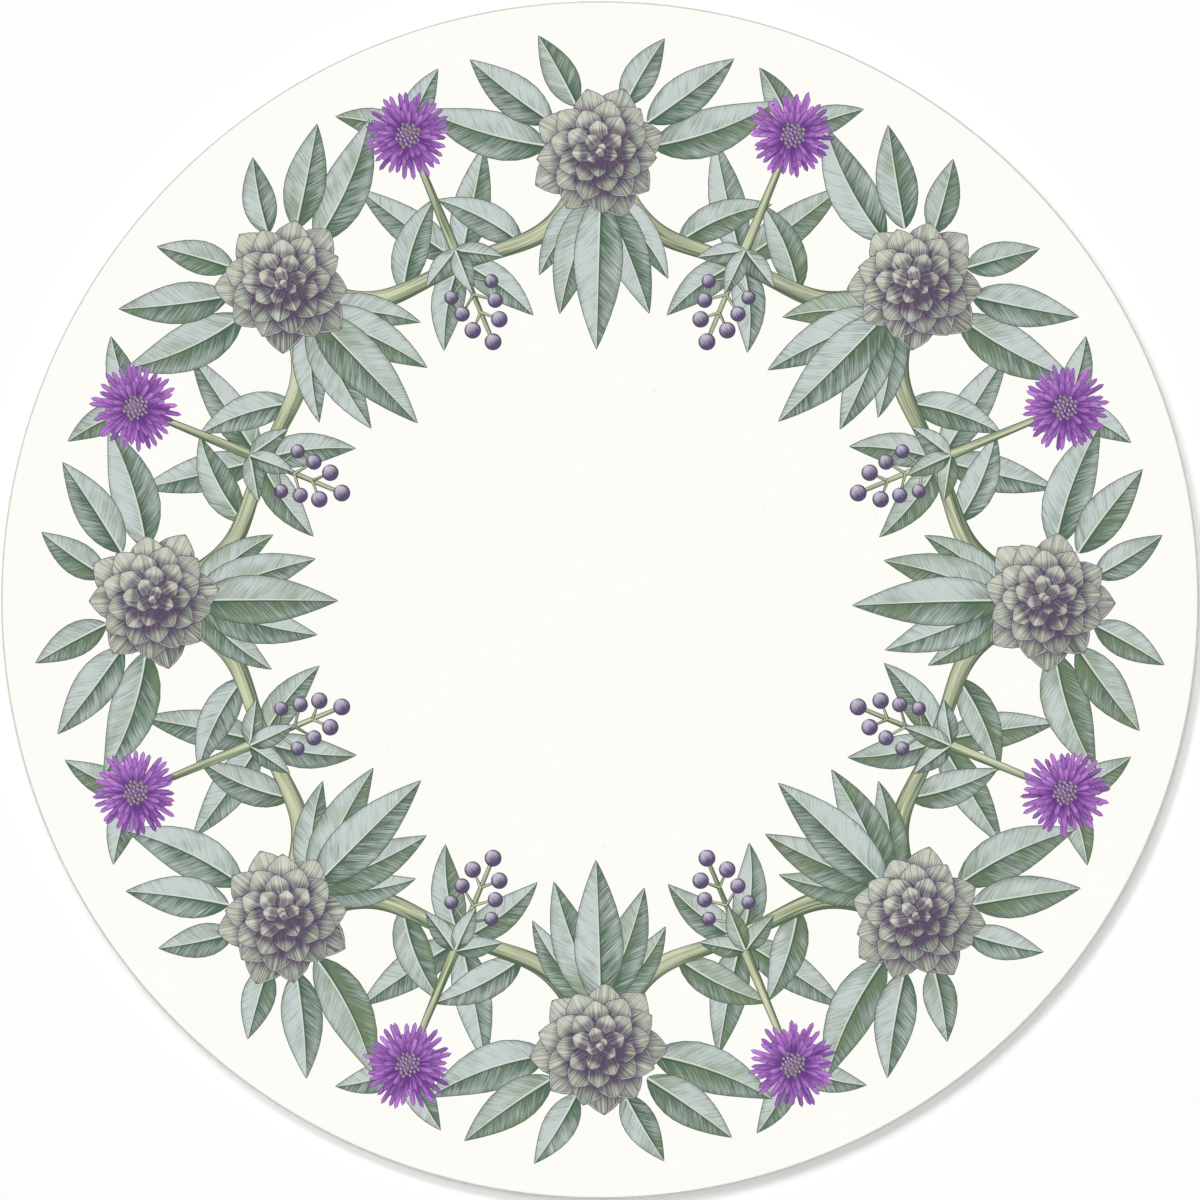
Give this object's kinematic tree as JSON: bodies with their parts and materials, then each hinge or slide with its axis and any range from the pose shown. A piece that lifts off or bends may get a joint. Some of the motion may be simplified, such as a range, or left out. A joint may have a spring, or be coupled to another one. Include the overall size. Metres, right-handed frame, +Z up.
{
  "type": "round placemat",
  "caption": "Thin round table mat: a printed laminate on a fibreboard disc, with a cork underside. A plate or dish stands on its flat top.",
  "frame": {"origin": "centre of the cork underside, on the table", "axes": "+Z up, out of the printed face and along the disc's axis; X and Y lie in the plane of the mat, with +Y towards the top of the picture"},
  "size_m": [0.3, 0.3, 0.004],
  "materials": {
    "printed_laminate": "satin, warm near-white with a printed botanical border",
    "sealed_fibreboard": "sanded edge sealed with pale, nearly neutral greige paint",
    "cork": "matte agglomerated cork granules"
  },
  "bodies": {
    "root": {"printed_laminate": "printed_laminate", "fibreboard_core": "sealed_fibreboard", "cork_backing": "cork"}
  },
  "joints": []
}
